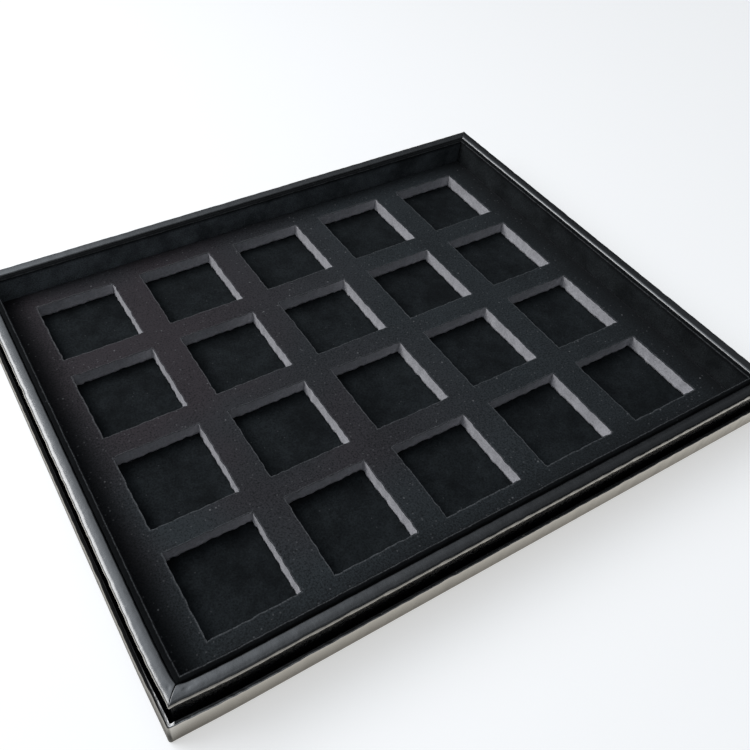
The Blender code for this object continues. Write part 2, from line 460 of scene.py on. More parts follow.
def rail_surface(profile, half_length, seed, seam_bend, mitre_gap, mitre_rounding):
    """A mitred rail along X, worked out from its section.

    A point at depth a ends half_length - a from the middle, less half the mitre gap. Near an end
    the section shrinks by r - sqrt(r^2 - (r - e)^2), with e the distance from the end and r the
    mitre rounding, and each end closes on the middle of the section. seam_bend shifts the mitre
    by a sine of the depth, which fades as exp(-e / SEAM_BEND_REACH). Two ripples push the rail
    inwards and down a little along its length. Both fade out towards the ends and the foot. The
    first one is weaker at the inner face, and its waves run slantwise over the height.
    """
    depth = profile[:, 0]
    height = profile[:, 1]
    normals = loop_normals(profile)
    thickness = depth.max()
    reach = half_length - depth - mitre_gap / 2
    middle_count = max(8, int(2 * half_length / RAIL_SPACING))
    blend = np.linspace(0.0, 1.0, middle_count + 2)[1:-1]
    edge = END_STEPS[-1]

    left_rows = [distance - reach for distance in END_STEPS]
    middle_rows = [(edge - reach) * (1 - share) + (reach - edge) * share for share in blend]
    right_rows = [reach - distance for distance in END_STEPS[::-1]]
    along = np.array(left_rows + middle_rows + right_rows)
    from_end = np.concatenate([END_STEPS, np.full(middle_count, edge), END_STEPS[::-1]])[:, None]
    left_part = (np.arange(len(along)) < len(along) / 2)[:, None]

    lack = np.clip(mitre_rounding - from_end, 0.0, None)
    shrink = mitre_rounding - np.sqrt(mitre_rounding**2 - lack**2)
    depth_grid = depth[None, :] - normals[None, :, 0] * shrink
    height_grid = height[None, :] - normals[None, :, 1] * shrink

    inwards = np.clip(depth / thickness, 0.0, 1.0)[None, :]
    bend = np.sin(np.pi * inwards) * np.exp(-from_end / SEAM_BEND_REACH)
    along = along + np.where(left_part, -seam_bend[0], seam_bend[1]) * bend

    share = (along + half_length) / (2 * half_length)
    settled = 1.0 - np.exp(-from_end / CALM_END_REACH)
    rise = np.clip((height - height.min()) / (height.max() - height.min()), 0.0, 1.0)[None, :]
    slanted = share + RAIL_SWAY_SLANT * (1.0 - rise)
    sway = ripple(slanted, seed, *RAIL_SWAY) * rise**2 * (1.0 - RAIL_SWAY_LOSS * inwards)
    lift = ripple(share, seed + 1, *RAIL_LIFT) * rise**4
    depth_grid = depth_grid + np.abs(sway) * settled
    height_grid = height_grid - np.abs(lift) * settled

    first = np.stack([along[0].mean(), depth_grid[0].mean(), height_grid[0].mean()])
    last = np.stack([along[-1].mean(), depth_grid[-1].mean(), height_grid[-1].mean()])
    grid = np.stack([along, depth_grid, height_grid], 2)
    closing = (1, len(profile), 1)
    return np.concatenate([np.tile(first, closing), grid, np.tile(last, closing)])


SIDES = {"front": 0.0, "right": 90.0, "back": 180.0, "left": 270.0}


def on_side(grid, side, half_size):
    """Turns a rail from (along, depth, height) to its side of the box."""
    angle = math.radians(SIDES[side])
    distance = half_size[1] if side in ("front", "back") else half_size[0]
    sideways = grid[..., 0]
    forward = grid[..., 1] - distance
    x = sideways * math.cos(angle) - forward * math.sin(angle)
    y = sideways * math.sin(angle) + forward * math.cos(angle)
    return np.stack([x, y, grid[..., 2]], -1)


def rectangle_loop(half_size, radius, side_steps, corner_steps):
    """Points round a rectangle with round corners, anticlockwise from its right side's far end.

    Points stand closer together towards the ends of a side, and every loop made with the same
    steps has its points at matching places.
    """
    share = np.linspace(0.0, 1.0, side_steps, endpoint=False)[1:]
    share = share - SIDE_CROWDING * np.sin(2 * np.pi * share) / np.pi
    pieces = []
    corners = ((1, 1), (-1, 1), (-1, -1), (1, -1))
    straight = np.array(half_size) - radius
    for index, (side_x, side_y) in enumerate(corners):
        middle = straight * (side_x, side_y)
        start = 90.0 * index
        turn = arc(middle, radius, start, start + 90.0, corner_steps)
        next_x, next_y = corners[(index + 1) % 4]
        next_start = straight * (next_x, next_y) + radius * np.array(
            [math.cos(math.radians(start + 90.0)), math.sin(math.radians(start + 90.0))]
        )
        pieces.append(turn)
        pieces.append(turn[-1] + (next_start - turn[-1]) * share[:, None])
    return np.concatenate(pieces)


# Materials


def start_material(name):
    """A node material with an empty Principled shader, and its object coordinates."""
    material = bpy.data.materials.new(name)
    material.use_nodes = True
    tree = material.node_tree
    shader = tree.nodes["Principled BSDF"]
    place = tree.nodes.new("ShaderNodeTexCoord").outputs["Object"]
    return material, tree, shader, place


def noise(tree, place, scale, detail=2.0, roughness=0.5):
    """A cloudy value from 0 to 1; scale is in cells a metre."""
    node = tree.nodes.new("ShaderNodeTexNoise")
    node.inputs["Scale"].default_value = scale
    node.inputs["Detail"].default_value = detail
    node.inputs["Roughness"].default_value = roughness
    tree.links.new(place, node.inputs["Vector"])
    return node.outputs["Fac"]


def spots(tree, place, scale, size):
    """1 in small round spots scattered one to a cell, and 0 elsewhere."""
    node = tree.nodes.new("ShaderNodeTexVoronoi")
    node.inputs["Scale"].default_value = scale
    tree.links.new(place, node.inputs["Vector"])
    return ramp(tree, node.outputs["Distance"], size, size * 0.5, 0.0, 1.0)


def ramp(tree, value, from_low, from_high, to_low, to_high):
    """A value carried from one range to another, and held at its ends."""
    node = tree.nodes.new("ShaderNodeMapRange")
    for key, number in (
        ("From Min", from_low),
        ("From Max", from_high),
        ("To Min", to_low),
        ("To Max", to_high),
    ):
        node.inputs[key].default_value = number
    tree.links.new(value, node.inputs["Value"])
    return node.outputs["Result"]


def join(tree, operation, first, second):
    """Two values joined by a Math operation; the second may be a number."""
    node = tree.nodes.new("ShaderNodeMath")
    node.operation = operation
    tree.links.new(first, node.inputs[0])
    if isinstance(second, (int, float)):
        node.inputs[1].default_value = second
    else:
        tree.links.new(second, node.inputs[1])
    return node.outputs["Value"]


def mixed(tree, share, first, second):
    """A colour between two others; each is a colour or a socket."""
    node = tree.nodes.new("ShaderNodeMix")
    node.data_type = "RGBA"
    tree.links.new(share, node.inputs["Factor"])
    for socket, colour in ((node.inputs[6], first), (node.inputs[7], second)):
        if isinstance(colour, tuple):
            socket.default_value = (*colour, 1.0)
        else:
            tree.links.new(colour, socket)
    return node.outputs[2]


def bumped(tree, height, distance, under=None):
    """A normal from a height value, over another normal if one is given."""
    node = tree.nodes.new("ShaderNodeBump")
    node.inputs["Distance"].default_value = distance
    node.inputs["Strength"].default_value = 1.0
    tree.links.new(height, node.inputs["Height"])
    if under is not None:
        tree.links.new(under, node.inputs["Normal"])
    return node.outputs["Normal"]


def attribute(tree, name):
    """A value kept on the mesh."""
    node = tree.nodes.new("ShaderNodeAttribute")
    node.attribute_name = name
    return node.outputs["Fac"]


def leatherette(name, roughness, coat_roughness, grain_height, pucker_height, gloss, coat_gloss):
    """Black coated leatherette: a fine pressed grain under a gloss coat, with slow puckers."""
    material, tree, shader, place = start_material(name)
    cloud = noise(tree, place, LEATHER_CLOUD_SCALE, 3.0)
    grain = noise(tree, place, LEATHER_GRAIN_SCALE, 3.0, 0.6)
    pucker = noise(tree, place, LEATHER_PUCKER_SCALE, 3.0, 0.55)
    colour = mixed(tree, cloud, BLACK_LEATHER, GREY_LEATHER)
    tree.links.new(colour, shader.inputs["Base Color"])
    rough = ramp(tree, grain, 0.3, 0.7, roughness - 0.05, roughness + 0.07)
    tree.links.new(rough, shader.inputs["Roughness"])
    slow = bumped(tree, pucker, pucker_height)
    tree.links.new(bumped(tree, grain, grain_height, slow), shader.inputs["Normal"])
    tree.links.new(slow, shader.inputs["Coat Normal"])
    shader.inputs["IOR"].default_value = gloss
    shader.inputs["Coat Weight"].default_value = 1.0
    shader.inputs["Coat IOR"].default_value = coat_gloss
    shader.inputs["Coat Roughness"].default_value = coat_roughness
    return material


def paint_tray_reflection_shade(material):
    """Paints shade into the tray's reflections: its leatherette is duller towards its foot and along its
    left side.

    The weight of the gloss coat grows from 0 at the foot to 1 near the top. This darkens the foot's
    reflection as painted shade, standing in for the reflected shadow on the table next to the tray.
    The left side loses half of a full coat on its outer face and all of it on its ledge, and is
    rougher there, which dims its reflection of the lamp as painted shade. The warm specular tint
    paints a warm cast into the reflections.
    """
    tree = material.node_tree
    shader = tree.nodes["Principled BSDF"]
    split = tree.nodes.new("ShaderNodeSeparateXYZ")
    tree.links.new(tree.nodes.new("ShaderNodeTexCoord").outputs["Object"], split.inputs["Vector"])
    x, z = split.outputs["X"], split.outputs["Z"]
    foot = ramp(tree, z, 1.5 * MM, 10.0 * MM, 0.0, 1.0)
    left = ramp(tree, x, 1.3 * MM - TRAY_HALF[0], 1.8 * MM - TRAY_HALF[0], 1.0, 0.0)
    ledge = ramp(tree, z, TRAY_TOP - 0.5 * MM, TRAY_TOP - 0.2 * MM, 0.5, 1.0)
    left = join(tree, "MULTIPLY", left, ledge)
    tree.links.new(join(tree, "SUBTRACT", foot, left), shader.inputs["Coat Weight"])
    glossy = shader.inputs["Roughness"].links[0].from_socket
    rough = join(tree, "ADD", join(tree, "MULTIPLY", left, 0.45), glossy)
    tree.links.new(rough, shader.inputs["Roughness"])
    # Painted reflection colour: a warm cast in the tray's reflections
    shader.inputs["Specular Tint"].default_value = (1.0, 0.95, 0.86, 1.0)


def velvet(name, dark, light, fold_colour):
    """Black velvet: short pile with brushed patches, lint, and a paler line where it is folded."""
    material, tree, shader, place = start_material(name)
    patch = noise(tree, place, VELVET_PATCH_SCALE, 4.0, 0.65)
    pile = noise(tree, place, VELVET_PILE_SCALE, 3.0, 0.7)
    brushed = ramp(tree, patch, 0.35, 0.65, 0.4, 1.0)
    share = join(tree, "MULTIPLY", brushed, ramp(tree, pile, 0.3, 0.7, 0.35, 1.35))
    # The mesh value read here lets the lighter colour show: on the liners it is painted sheen, strongest
    # on the back strip, and on the pad it is its own paler pile
    pile_and_painted_sheen = ramp(tree, attribute(tree, "pile_and_painted_sheen"), 0.0, 1.0, 0.02, 1.0)
    colour = mixed(tree, join(tree, "MULTIPLY", share, pile_and_painted_sheen), dark, light)
    lint = spots(tree, place, VELVET_LINT_SCALE, 0.09)
    lint = join(tree, "MULTIPLY", lint, ramp(tree, patch, 0.45, 0.5, 0.0, 1.0))
    colour = mixed(tree, join(tree, "MULTIPLY", lint, 0.4), colour, VELVET_LINT)
    worn = ramp(tree, pile, 0.35, 0.65, 0.2, 1.0)
    worn = join(tree, "MULTIPLY", attribute(tree, "fold"), worn)
    colour = mixed(tree, worn, colour, fold_colour)
    tree.links.new(colour, shader.inputs["Base Color"])
    tree.links.new(bumped(tree, pile, 0.10 * MM), shader.inputs["Normal"])
    shader.inputs["Roughness"].default_value = 0.9
    shader.inputs["Specular IOR Level"].default_value = 0.06
    shader.inputs["Sheen Weight"].default_value = 0.03
    shader.inputs["Sheen Roughness"].default_value = 0.45
    shader.inputs["Sheen Tint"].default_value = (0.8, 0.85, 0.9, 1.0)
    return material


def flock():
    """The flocked top of the foam: a short black pile, plum in places, darker along the sheet's
    margin as painted shade, lighter towards the left and the back as painted light, paler at the
    pockets' edges, with pale lint."""
    material, tree, shader, place = start_material("flocked_foam_top")
    patch = noise(tree, place, FLOCK_PATCH_SCALE, 4.0, 0.6)
    pile = noise(tree, place, FLOCK_PILE_SCALE, 3.0, 0.8)
    split = tree.nodes.new("ShaderNodeSeparateXYZ")
    tree.links.new(place, split.inputs["Vector"])
    x, y = split.outputs["X"], split.outputs["Y"]
    share = ramp(tree, patch, 0.35, 0.65, 0.7, 1.0)
    for part in (
        ramp(tree, pile, 0.36, 0.64, 0.2, 1.45),
        # Painted shade: darker along the sheet's margin
        ramp(tree, attribute(tree, "margin"), 0.0, 1.0, 1.0, 0.2),
        # Painted light: lighter towards the left and towards the back
        ramp(tree, x, -90.0 * MM, 90.0 * MM, 1.35, 0.85),
        ramp(tree, y, -60.0 * MM, 60.0 * MM, 0.95, 1.1),
    ):
        share = join(tree, "MULTIPLY", share, part)
    cast = ramp(tree, noise(tree, place, FLOCK_CAST_SCALE), 0.30, 0.50, 0.0, 1.0)
    for part in (
        ramp(tree, x, -50.0 * MM, 40.0 * MM, 1.0, 0.0),
        ramp(tree, y, -75.0 * MM, -45.0 * MM, 0.0, 1.0),
    ):
        cast = join(tree, "MULTIPLY", cast, part)
    colour = mixed(tree, share, FLOCK_DARK, mixed(tree, cast, FLOCK_GREENISH, FLOCK_PLUM))
    worn = ramp(tree, pile, 0.35, 0.65, 0.2, 1.0)
    worn = join(tree, "MULTIPLY", attribute(tree, "edge"), worn)
    colour = mixed(tree, worn, colour, FLOCK_WORN)
    flecks = join(tree, "MULTIPLY", spots(tree, place, FLOCK_FLECK_SCALE, 0.16), 0.32)
    colour = mixed(tree, flecks, colour, FLOCK_LINT)
    lint = spots(tree, place, FLOCK_LINT_SCALE, 0.10)
    lint = join(tree, "MULTIPLY", lint, ramp(tree, patch, 0.44, 0.50, 0.0, 1.0))
    colour = mixed(tree, join(tree, "MULTIPLY", lint, 0.8), colour, FLOCK_LINT)
    tree.links.new(colour, shader.inputs["Base Color"])
    tree.links.new(bumped(tree, pile, 0.14 * MM), shader.inputs["Normal"])
    shader.inputs["Roughness"].default_value = 0.8
    shader.inputs["Specular IOR Level"].default_value = 0.12
    shader.inputs["Sheen Weight"].default_value = 0.04
    shader.inputs["Sheen Roughness"].default_value = 0.5
    shader.inputs["Sheen Tint"].default_value = (0.85, 0.85, 0.9, 1.0)
    return material


def bare_foam():
    """The cut foam of the pocket walls: mid grey open cells."""
    material, tree, shader, place = start_material("bare_foam_wall")
    cells = noise(tree, place, FOAM_CELL_SCALE, 3.0, 0.7)
    cloud = noise(tree, place, FOAM_CLOUD_SCALE)
    coarse = ramp(tree, cloud, 0.3, 0.7, 0.0, 0.3)
    share = join(tree, "ADD", ramp(tree, cells, 0.3, 0.7, 0.0, 0.7), coarse)
    tree.links.new(mixed(tree, share, FOAM_DARK, FOAM_LIGHT), shader.inputs["Base Color"])
    tree.links.new(bumped(tree, cells, 0.12 * MM), shader.inputs["Normal"])
    shader.inputs["Roughness"].default_value = 0.95
    shader.inputs["Specular IOR Level"].default_value = 0.2
    return material


def table_white():
    """The plain white table: a diffuse white that keeps the shadow, with the rest of its white added
    for the rays of the camera and of reflections, so that the lamp stays at a plain level."""
    material = bpy.data.materials.new("white_table")
    material.use_nodes = True
    tree = material.node_tree
    tree.nodes.remove(tree.nodes["Principled BSDF"])
    rays = tree.nodes.new("ShaderNodeLightPath")
    is_mirrored = rays.outputs["Is Glossy Ray"]
    diffuse = tree.nodes.new("ShaderNodeBsdfDiffuse")
    grey = mixed(tree, is_mirrored, TABLE_COLOUR, TABLE_COLOUR_MIRRORED)
    tree.links.new(grey, diffuse.inputs["Color"])
    glow = tree.nodes.new("ShaderNodeEmission")
    cast = mixed(tree, is_mirrored, TABLE_GLOW_COLOUR, TABLE_GLOW_COLOUR_MIRRORED)
    tree.links.new(cast, glow.inputs["Color"])
    seen = join(tree, "MULTIPLY", rays.outputs["Is Camera Ray"], TABLE_GLOW)
    mirrored = join(tree, "MULTIPLY", is_mirrored, TABLE_GLOW_MIRRORED)
    tree.links.new(join(tree, "ADD", seen, mirrored), glow.inputs["Strength"])
    both = tree.nodes.new("ShaderNodeAddShader")
    tree.links.new(diffuse.outputs["BSDF"], both.inputs[0])
    tree.links.new(glow.outputs["Emission"], both.inputs[1])
    tree.links.new(both.outputs["Shader"], tree.nodes["Material Output"].inputs["Surface"])
    return material


# The pieces


def make_tray(material):
    """The wrapped outer tray, as its section carried round a rectangle with round corners.

    The section runs from the middle of the underside out over the turned-in border, up the
    outer face, over the fold and the ledge, and down to the board inside. The outer part of the
    section moves in by the size of one ripple round the box times the height's share h, and by
    TRAY_BULGE * (1 - sin(pi h)), so that the face bulges at half its height. The ledge is
    crumpled: it sinks by the size of a second ripple, whose waves run slantwise over it.
    """
    wall = TRAY_WALL
    ledge_end = TRAY_TOP - LEDGE_LEAN
    last_fold = (wall - TRAY_INNER_FOLD, ledge_end - TRAY_INNER_FOLD)
    section = np.concatenate(
        [
            [(TURN_IN + TURN_IN_SLOPE, TURN_IN_STEP)],
            line((TURN_IN, 0.0), (TRAY_FOOT_FOLD, 0.0), 6),
            arc((TRAY_FOOT_FOLD, TRAY_FOOT_FOLD), TRAY_FOOT_FOLD, 270.0, 180.0, 8),
            line((0.0, TRAY_FOOT_FOLD), (0.0, TRAY_TOP - TRAY_FOLD), 9)[1:],
            arc((TRAY_FOLD, TRAY_TOP - TRAY_FOLD), TRAY_FOLD, 180.0, 90.0, 10),
            line((TRAY_FOLD, TRAY_TOP), (last_fold[0], ledge_end), 9)[1:],
            arc(last_fold, TRAY_INNER_FOLD, 90.0, 0.0, 5),
            line((wall, last_fold[1]), (wall, BOTTOM_BOARD), 5)[1:],
            [(wall, BOTTOM_BOARD), (wall + BOTTOM_BORDER, BOTTOM_BOARD)],
        ]
    )
    steps = (TRAY_SIDE_STEPS, TRAY_CORNER_STEPS)
    rings = []
    for depth, height in section:
        radius = max(TRAY_CORNER - depth, TRAY_LEAST_CORNER)
        loop = rectangle_loop(TRAY_HALF - depth, radius, *steps)
        rings.append(np.column_stack([loop, np.full(len(loop), height)]))
    grid = np.array(rings)
    columns = grid.shape[1]
    outline = rectangle_loop(TRAY_HALF, TRAY_CORNER, *steps)
    travelled = np.cumsum(np.linalg.norm(outline - np.roll(outline, 1, axis=0), axis=1))
    share = travelled / travelled[-1]

    rise = np.clip(grid[..., 2] / TRAY_TOP, 0.0, 1.0)
    outer = (section[:, 0] < wall / 2)[:, None]
    sway = np.abs(ripple(share, TRAY_SWAY_SEED, *TRAY_SWAY)) * rise
    shift = (sway + TRAY_BULGE * (1.0 - np.sin(np.pi * rise))) * outer
    by_side = np.abs(grid[..., :2]) > TRAY_HALF - TRAY_CORNER - 2.0 * MM
    grid[..., :2] -= np.sign(grid[..., :2]) * by_side * shift[..., None]
    on_ledge = np.clip(1.0 - (TRAY_TOP - section[:, 1]) / TRAY_FOLD, 0.0, 1.0)[:, None]
    slanted = share + section[:, :1] / travelled[-1]
    grid[..., 2] -= on_ledge * np.abs(ripple(slanted, LEDGE_CRUMPLE_SEED, *LEDGE_CRUMPLE))

    under = np.tile([0.0, 0.0, TURN_IN_STEP], (1, columns, 1))
    inside = np.tile([0.0, 0.0, BOTTOM_BOARD], (1, columns, 1))
    grid = np.concatenate([under, grid, inside])
    points = drawn_in(grid.reshape(-1, 3), CORNER_PULL)
    mesh = closed_mesh("tray", points, grid_quads(grid.shape[0], columns, True))
    return add_piece("tray_wrap", mesh, [material], "tray_leatherette", "base_tray")


def make_neck_rail(side, material, seed):
    """One wrapped rail of the neck, between its mitres.

    Each pucker sinks the top by its depth times exp(-(d / NECK_PUCKER_REACH)^2), with d the
    distance from its middle in plan.
    """
    tilts = {"left": LEFT_NECK_TILT, "right": RIGHT_NECK_TILT}.get(side, NECK_TILT)
    crown = NECK_CROWN[side]
    outer = tilted_face(RAIL_FOOT, RIM_TOP - crown, tilts)
    profile = rail_profile(outer, NECK_THICKNESS, RIM_TOP, NECK_INNER_FOLD[side], crown)
    half_length = NECK_OUTER_HALF[0] if side in ("front", "back") else NECK_OUTER_HALF[1]
    bend = np.array(NECK_SEAM_BEND[side]) * MM
    rail = rail_surface(profile, half_length, seed, bend, NECK_MITRE_GAP, NECK_MITRE_ROUNDING)
    grid = on_side(rail, side, NECK_OUTER_HALF)
    points = drawn_in(drawn_in(grid.reshape(-1, 3), CORNER_PULL), NECK_CORNER_PULL)
    for across, back, height in NECK_PUCKERS:
        place = NECK_THICKNESS - NECK_OUTER_HALF + np.array([across, back]) * MM
        away = np.sum((points[:, :2] - place) ** 2, axis=1) / NECK_PUCKER_REACH**2
        on_top = points[:, 2] > RIM_TOP - NECK_PUCKER_DEPTH
        points[:, 2] -= height * MM * np.exp(-away) * on_top
    mesh = closed_mesh(f"neck_{side}", points, grid_quads(*grid.shape[:2], True))
    return add_piece(f"neck_wrap_{side}", mesh, [material], "neck_leatherette", f"neck_{side}")


def make_liner(side, material, seed):
    """One velvet-covered strip inside the neck, with its fold and painted sheen marked for the material.

    The fold value is exp(-(d / LINER_CREASE_WIDTH)^2), with d the distance in the section from
    the strip's crease, which wanders by a ripple. The painted sheen value grows from 0 at the fold
    to the strip's own value just below it, and on the back strip it falls to less than half from its
    left end to its right, a painted fall of light away from the lamp's side.
    """
    outer = plain_face(RAIL_FOOT, RIM_TOP - LINER_CROWN, LINER_FOLD)
    profile = rail_profile(outer, LINER_THICKNESS, RIM_TOP, LINER_FOLD, LINER_CROWN)
    half_length = LINER_OUTER_HALF[0] if side in ("front", "back") else LINER_OUTER_HALF[1]
    grid = rail_surface(
        profile, half_length, seed, np.zeros(2), LINER_MITRE_GAP, LINER_MITRE_ROUNDING
    )
    crease = np.array([LINER_THICKNESS, RIM_TOP]) - np.array(LINER_CREASE[side]) * MM
    share = 0.5 + grid[..., 0] / (2 * half_length)
    wander = ripple(share, seed + CREASE_SEED_STEP, *LINER_CREASE_WANDER)
    away = np.linalg.norm(grid[..., 1:] - crease + np.stack([wander, 0 * wander], -1), axis=-1)
    fold = np.exp(-((away / LINER_CREASE_WIDTH) ** 2))
    below = RIM_TOP - LINER_FOLD - grid[..., 2]
    pile_and_painted_sheen = LINER_PAINTED_SHEEN[side] * np.clip(below / LINER_PAINTED_SHEEN_START, 0.0, 1.0)
    # Painted light: the back strip is lighter towards its left end
    if side == "back":
        pile_and_painted_sheen *= 0.55 + 0.7 * share
    points = drawn_in(on_side(grid, side, LINER_OUTER_HALF).reshape(-1, 3), CORNER_PULL)
    quads = grid_quads(*grid.shape[:2], True)
    values = {"fold": fold.ravel(), "pile_and_painted_sheen": pile_and_painted_sheen.ravel()}
    mesh = closed_mesh(f"liner_{side}", points, quads, values=values)
    return add_piece(f"liner_strip_{side}", mesh, [material], "liner_velvet", f"liner_{side}")


def cell_edges(centres, half):
    """Borders between neighbouring pockets along one axis, with the sheet's own edges outside."""
    return np.concatenate([[-half], (centres[1:] + centres[:-1]) / 2, [half]])


def make_foam(top_material, wall_material):
    """The foam sheet, as one ring-shaped patch round each pocket.

    Each patch is the loop of its pocket carried along a section: out of the middle of the sheet's
    underside, up the cut wall, over a soft lip and out to the border with the next pocket. A
    point on the border lies where the pocket's loop, scaled to a unit square, falls on the
    patch's own rectangle, so that neighbours share their points and weld.

    The wall stands out by one ripple round the pocket at its foot, by another at its lip, by a
    straight blend of the two between them, and by half a sine of POCKET_HOLLOW. The sheet's top
    sinks by FOAM_EDGE_DROP * exp(-(d / FOAM_EDGE_REACH)^2), with d the distance from the sheet's
    edge, and by FOAM_SWELL * (1 + a product of one sine of x and one of y).
    """
    xs = np.unique(np.round([middle[0] for middle, _ in POCKETS], 6))
    ys = np.unique(np.round([middle[1] for middle, _ in POCKETS], 6))
    x_edges = cell_edges(xs, FOAM_HALF[0])
    y_edges = cell_edges(ys, FOAM_HALF[1])
    low, high = FOAM_LOW[2], FOAM_HIGH[2]

    all_points = []
    all_quads = []
    all_materials = []
    count = 0
    for index, (middle, half) in enumerate(POCKETS):
        column = int(np.argmin(np.abs(xs - middle[0])))
        row = int(np.argmin(np.abs(ys - middle[1])))
        cell_low = np.array([x_edges[column], y_edges[row]])
        cell_high = np.array([x_edges[column + 1], y_edges[row + 1]])
        base = rectangle_loop(half, POCKET_CORNER, POCKET_SIDE_STEPS, POCKET_CORNER_STEPS)
        columns = len(base)
        share = np.arange(columns) / columns
        square = base / np.max(np.abs(base) / half, axis=1)[:, None] / half
        border = cell_low + (square + 1) / 2 * (cell_high - cell_low)
        wobble = ripple(share, FIRST_UPPER_CUT_SEED + index, *UPPER_CUT)
        wobble_low = ripple(share, FIRST_LOWER_CUT_SEED + index, *LOWER_CUT)
        outwards = np.sign(base) * (np.abs(base) > half - POCKET_CORNER)

        rows = [np.column_stack([border, np.full(columns, low)])]
        for level in np.linspace(0.0, 1.0, POCKET_WALL_ROWS):
            height = low + (high - POCKET_LIP - low) * level
            hollow = POCKET_HOLLOW * math.sin(math.pi * level)
            grow = wobble * level + wobble_low * (1 - level) + hollow
            loop = middle + base + outwards * grow[:, None]
            rows.append(np.column_stack([loop, np.full(columns, height)]))
        for turn in np.linspace(0.0, 90.0, POCKET_LIP_ROWS + 1)[1:]:
            angle = math.radians(turn)
            grow = wobble + POCKET_LIP * (1 - math.cos(angle))
            loop = middle + base + outwards * grow[:, None]
            height = high - POCKET_LIP + POCKET_LIP * math.sin(angle)
            rows.append(np.column_stack([loop, np.full(columns, height)]))
        lip = rows[-1][:, :2]
        for part in FOAM_TOP_SHARES:
            flat = lip + (border - lip) * part
            rows.append(np.column_stack([flat, np.full(columns, high)]))
        grid = np.array(rows)
        quads = grid_quads(len(rows), columns, True)
        face_row = np.repeat(np.arange(len(rows) - 1), columns)
        all_points.append(grid.reshape(-1, 3))
        all_quads.append(quads + count)
        all_materials.append((face_row < POCKET_WALL_ROWS).astype(int))
        count += grid.shape[0] * columns
    points = np.concatenate(all_points)
    quads = np.concatenate(all_quads)
    face_materials = np.concatenate(all_materials)

    side_quads = sheet_side(points, low)
    quads = np.concatenate([quads, side_quads])
    face_materials = np.concatenate([face_materials, np.zeros(len(side_quads), int)])

    lip_row = POCKET_WALL_ROWS + POCKET_LIP_ROWS
    row_number = np.repeat(np.arange(lip_row + 1 + len(FOAM_TOP_SHARES)), columns)
    edge = np.tile((row_number == lip_row) | (row_number == lip_row - 1), len(POCKETS))
    x, y = points[:, 0], points[:, 1]
    # The margin value is painted shade: it darkens the flock along the sheet's left, right and front
    # edges, the front less
    inset = np.stack([x + FOAM_HALF[0], FOAM_HALF[0] - x, y + FOAM_HALF[1]])
    margin = np.max(WALL_SHADE_STRENGTHS * np.exp(-((inset / WALL_SHADE_REACH) ** 2)), axis=0)
    from_edge = np.min(FOAM_HALF - np.abs(points[:, :2]), axis=1)
    swell = np.sin(x * 71.0 + 0.6) * np.sin(y * 93.0 + 1.1)
    drop = FOAM_EDGE_DROP * np.exp(-((from_edge / FOAM_EDGE_REACH) ** 2)) + FOAM_SWELL * (1 + swell)
    points[:, 2] -= (points[:, 2] > high - 0.01 * MM) * drop
    values = {"edge": edge.astype(float), "margin": margin}
    mesh = closed_mesh("foam", points, quads, face_materials, values)
    finishes = [top_material, wall_material]
    piece = add_piece("foam_sheet", mesh, finishes, "flocked_foam", "pocket_foam")


def sheet_side(points, low):
    """Quads between the upper and lower border points on the sheet's outer edge.

    Each patch's last row is its upper border and its first row the lower one, and both have the
    same places in plan, so a stretch of border that lies on the sheet's edge is joined straight.
    """
    per_pocket = len(points) // len(POCKETS)
    found = []
    for index in range(len(POCKETS)):
        block = points[index * per_pocket:(index + 1) * per_pocket]
        columns = int(np.sum(np.isclose(block[:, 2], low))) // 2
        lower = np.arange(columns)
        upper = np.arange(per_pocket - columns, per_pocket)
        plan = block[lower, :2]
        following = np.roll(lower, -1)
        for axis in (0, 1):
            on_edge = np.isclose(np.abs(plan[:, axis]), FOAM_HALF[axis], atol=1e-6)
            both = on_edge & np.roll(on_edge, -1)
            both &= np.sign(plan[:, axis]) == np.sign(np.roll(plan[:, axis], -1))
            here, ahead = lower[both], following[both]
            corners = [here, ahead, upper[ahead], upper[here]]
            found.append(np.stack(corners, 1) + index * per_pocket)
    return np.concatenate(found)


def make_pad(material):
    """The velvet pad: a plate whose top rises softly in the middle of every pocket.

    The rise is PAD_SWELL times the product of two cosines of the distance from the nearest
    pocket's middle, along the box and across it.
    """
    across = np.linspace(-1.0, 1.0, PAD_COLUMNS)
    back = np.linspace(-1.0, 1.0, PAD_ROWS)
    x, y = np.meshgrid(across * FOAM_HALF[0], back * FOAM_HALF[1], indexing="ij")
    columns_x, rows_y = (np.unique([round(middle[axis], 6) for middle, _ in POCKETS]) for axis in (0, 1))
    pitch_x, pitch_y = columns_x[1] - columns_x[0], rows_y[1] - rows_y[0]
    rise = np.abs(np.cos(np.pi * x / pitch_x)) * np.abs(np.sin(np.pi * y / pitch_y))
    top = PAD_HIGH[2] - PAD_SWELL / 2 + PAD_SWELL * rise
    upper = np.stack([x, y, top], -1)
    low = PAD_LOW[2]
    rim = np.ones_like(top, bool)
    rim[1:-1, 1:-1] = False
    lower = np.stack([x, y, np.full_like(x, low)], -1)
    lower[rim] = upper[rim] * (1, 1, 0) + (0, 0, low)
    rows, columns = x.shape
    points = np.concatenate([upper.reshape(-1, 3), lower.reshape(-1, 3)])
    quads = grid_quads(rows, columns)
    number = np.arange(rows * columns).reshape(rows, columns)
    loop = np.concatenate([number[:-1, 0], number[-1, :-1], number[:0:-1, -1], number[0, :0:-1]])
    ahead = np.roll(loop, -1)
    side = np.stack([loop, ahead, ahead + rows * columns, loop + rows * columns], 1)
    all_quads = np.concatenate([quads, quads + rows * columns, side])
    # The pad takes its paler pile colour all over; it has no painted sheen
    values = {"fold": np.zeros(len(points)), "pile_and_painted_sheen": np.ones(len(points))}
    mesh = closed_mesh("pad", points, all_quads, values=values)
    piece = add_piece("velvet_pad", mesh, [material], "pad_velvet", "floor_pad")


# The stage


